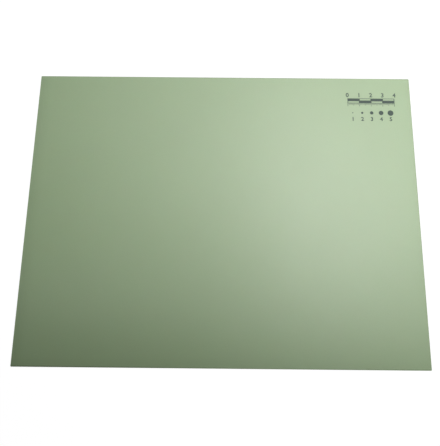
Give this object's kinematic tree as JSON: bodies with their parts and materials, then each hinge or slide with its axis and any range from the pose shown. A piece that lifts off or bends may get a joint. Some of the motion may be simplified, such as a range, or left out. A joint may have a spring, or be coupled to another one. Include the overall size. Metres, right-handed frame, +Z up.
{
  "type": "work mat",
  "caption": "Flat rectangular bench work mat of soft matte vinyl, laminated over a stiff core film and a grip base, with a small stamped rule near a corner.",
  "frame": {"origin": "middle of the underside, on the bench that the mat lies on", "axes": "+X along the long side to the right, +Y away from the user along the short side, +Z up out of the work surface"},
  "size_m": [0.32, 0.24, 0.002],
  "materials": {
    "face_vinyl": "matte calendered soft vinyl, sage green",
    "core_film": "thin stiff off-white film",
    "base_vinyl": "matte embossed non-slip underside, darker green",
    "scale_ink": "matte hot-stamped print, dark grey-green"
  },
  "bodies": {
    "root": {"face_sheet": "face_vinyl", "core_film": "core_film", "grip_base": "base_vinyl", "printed_scale": "scale_ink"}
  },
  "joints": []
}
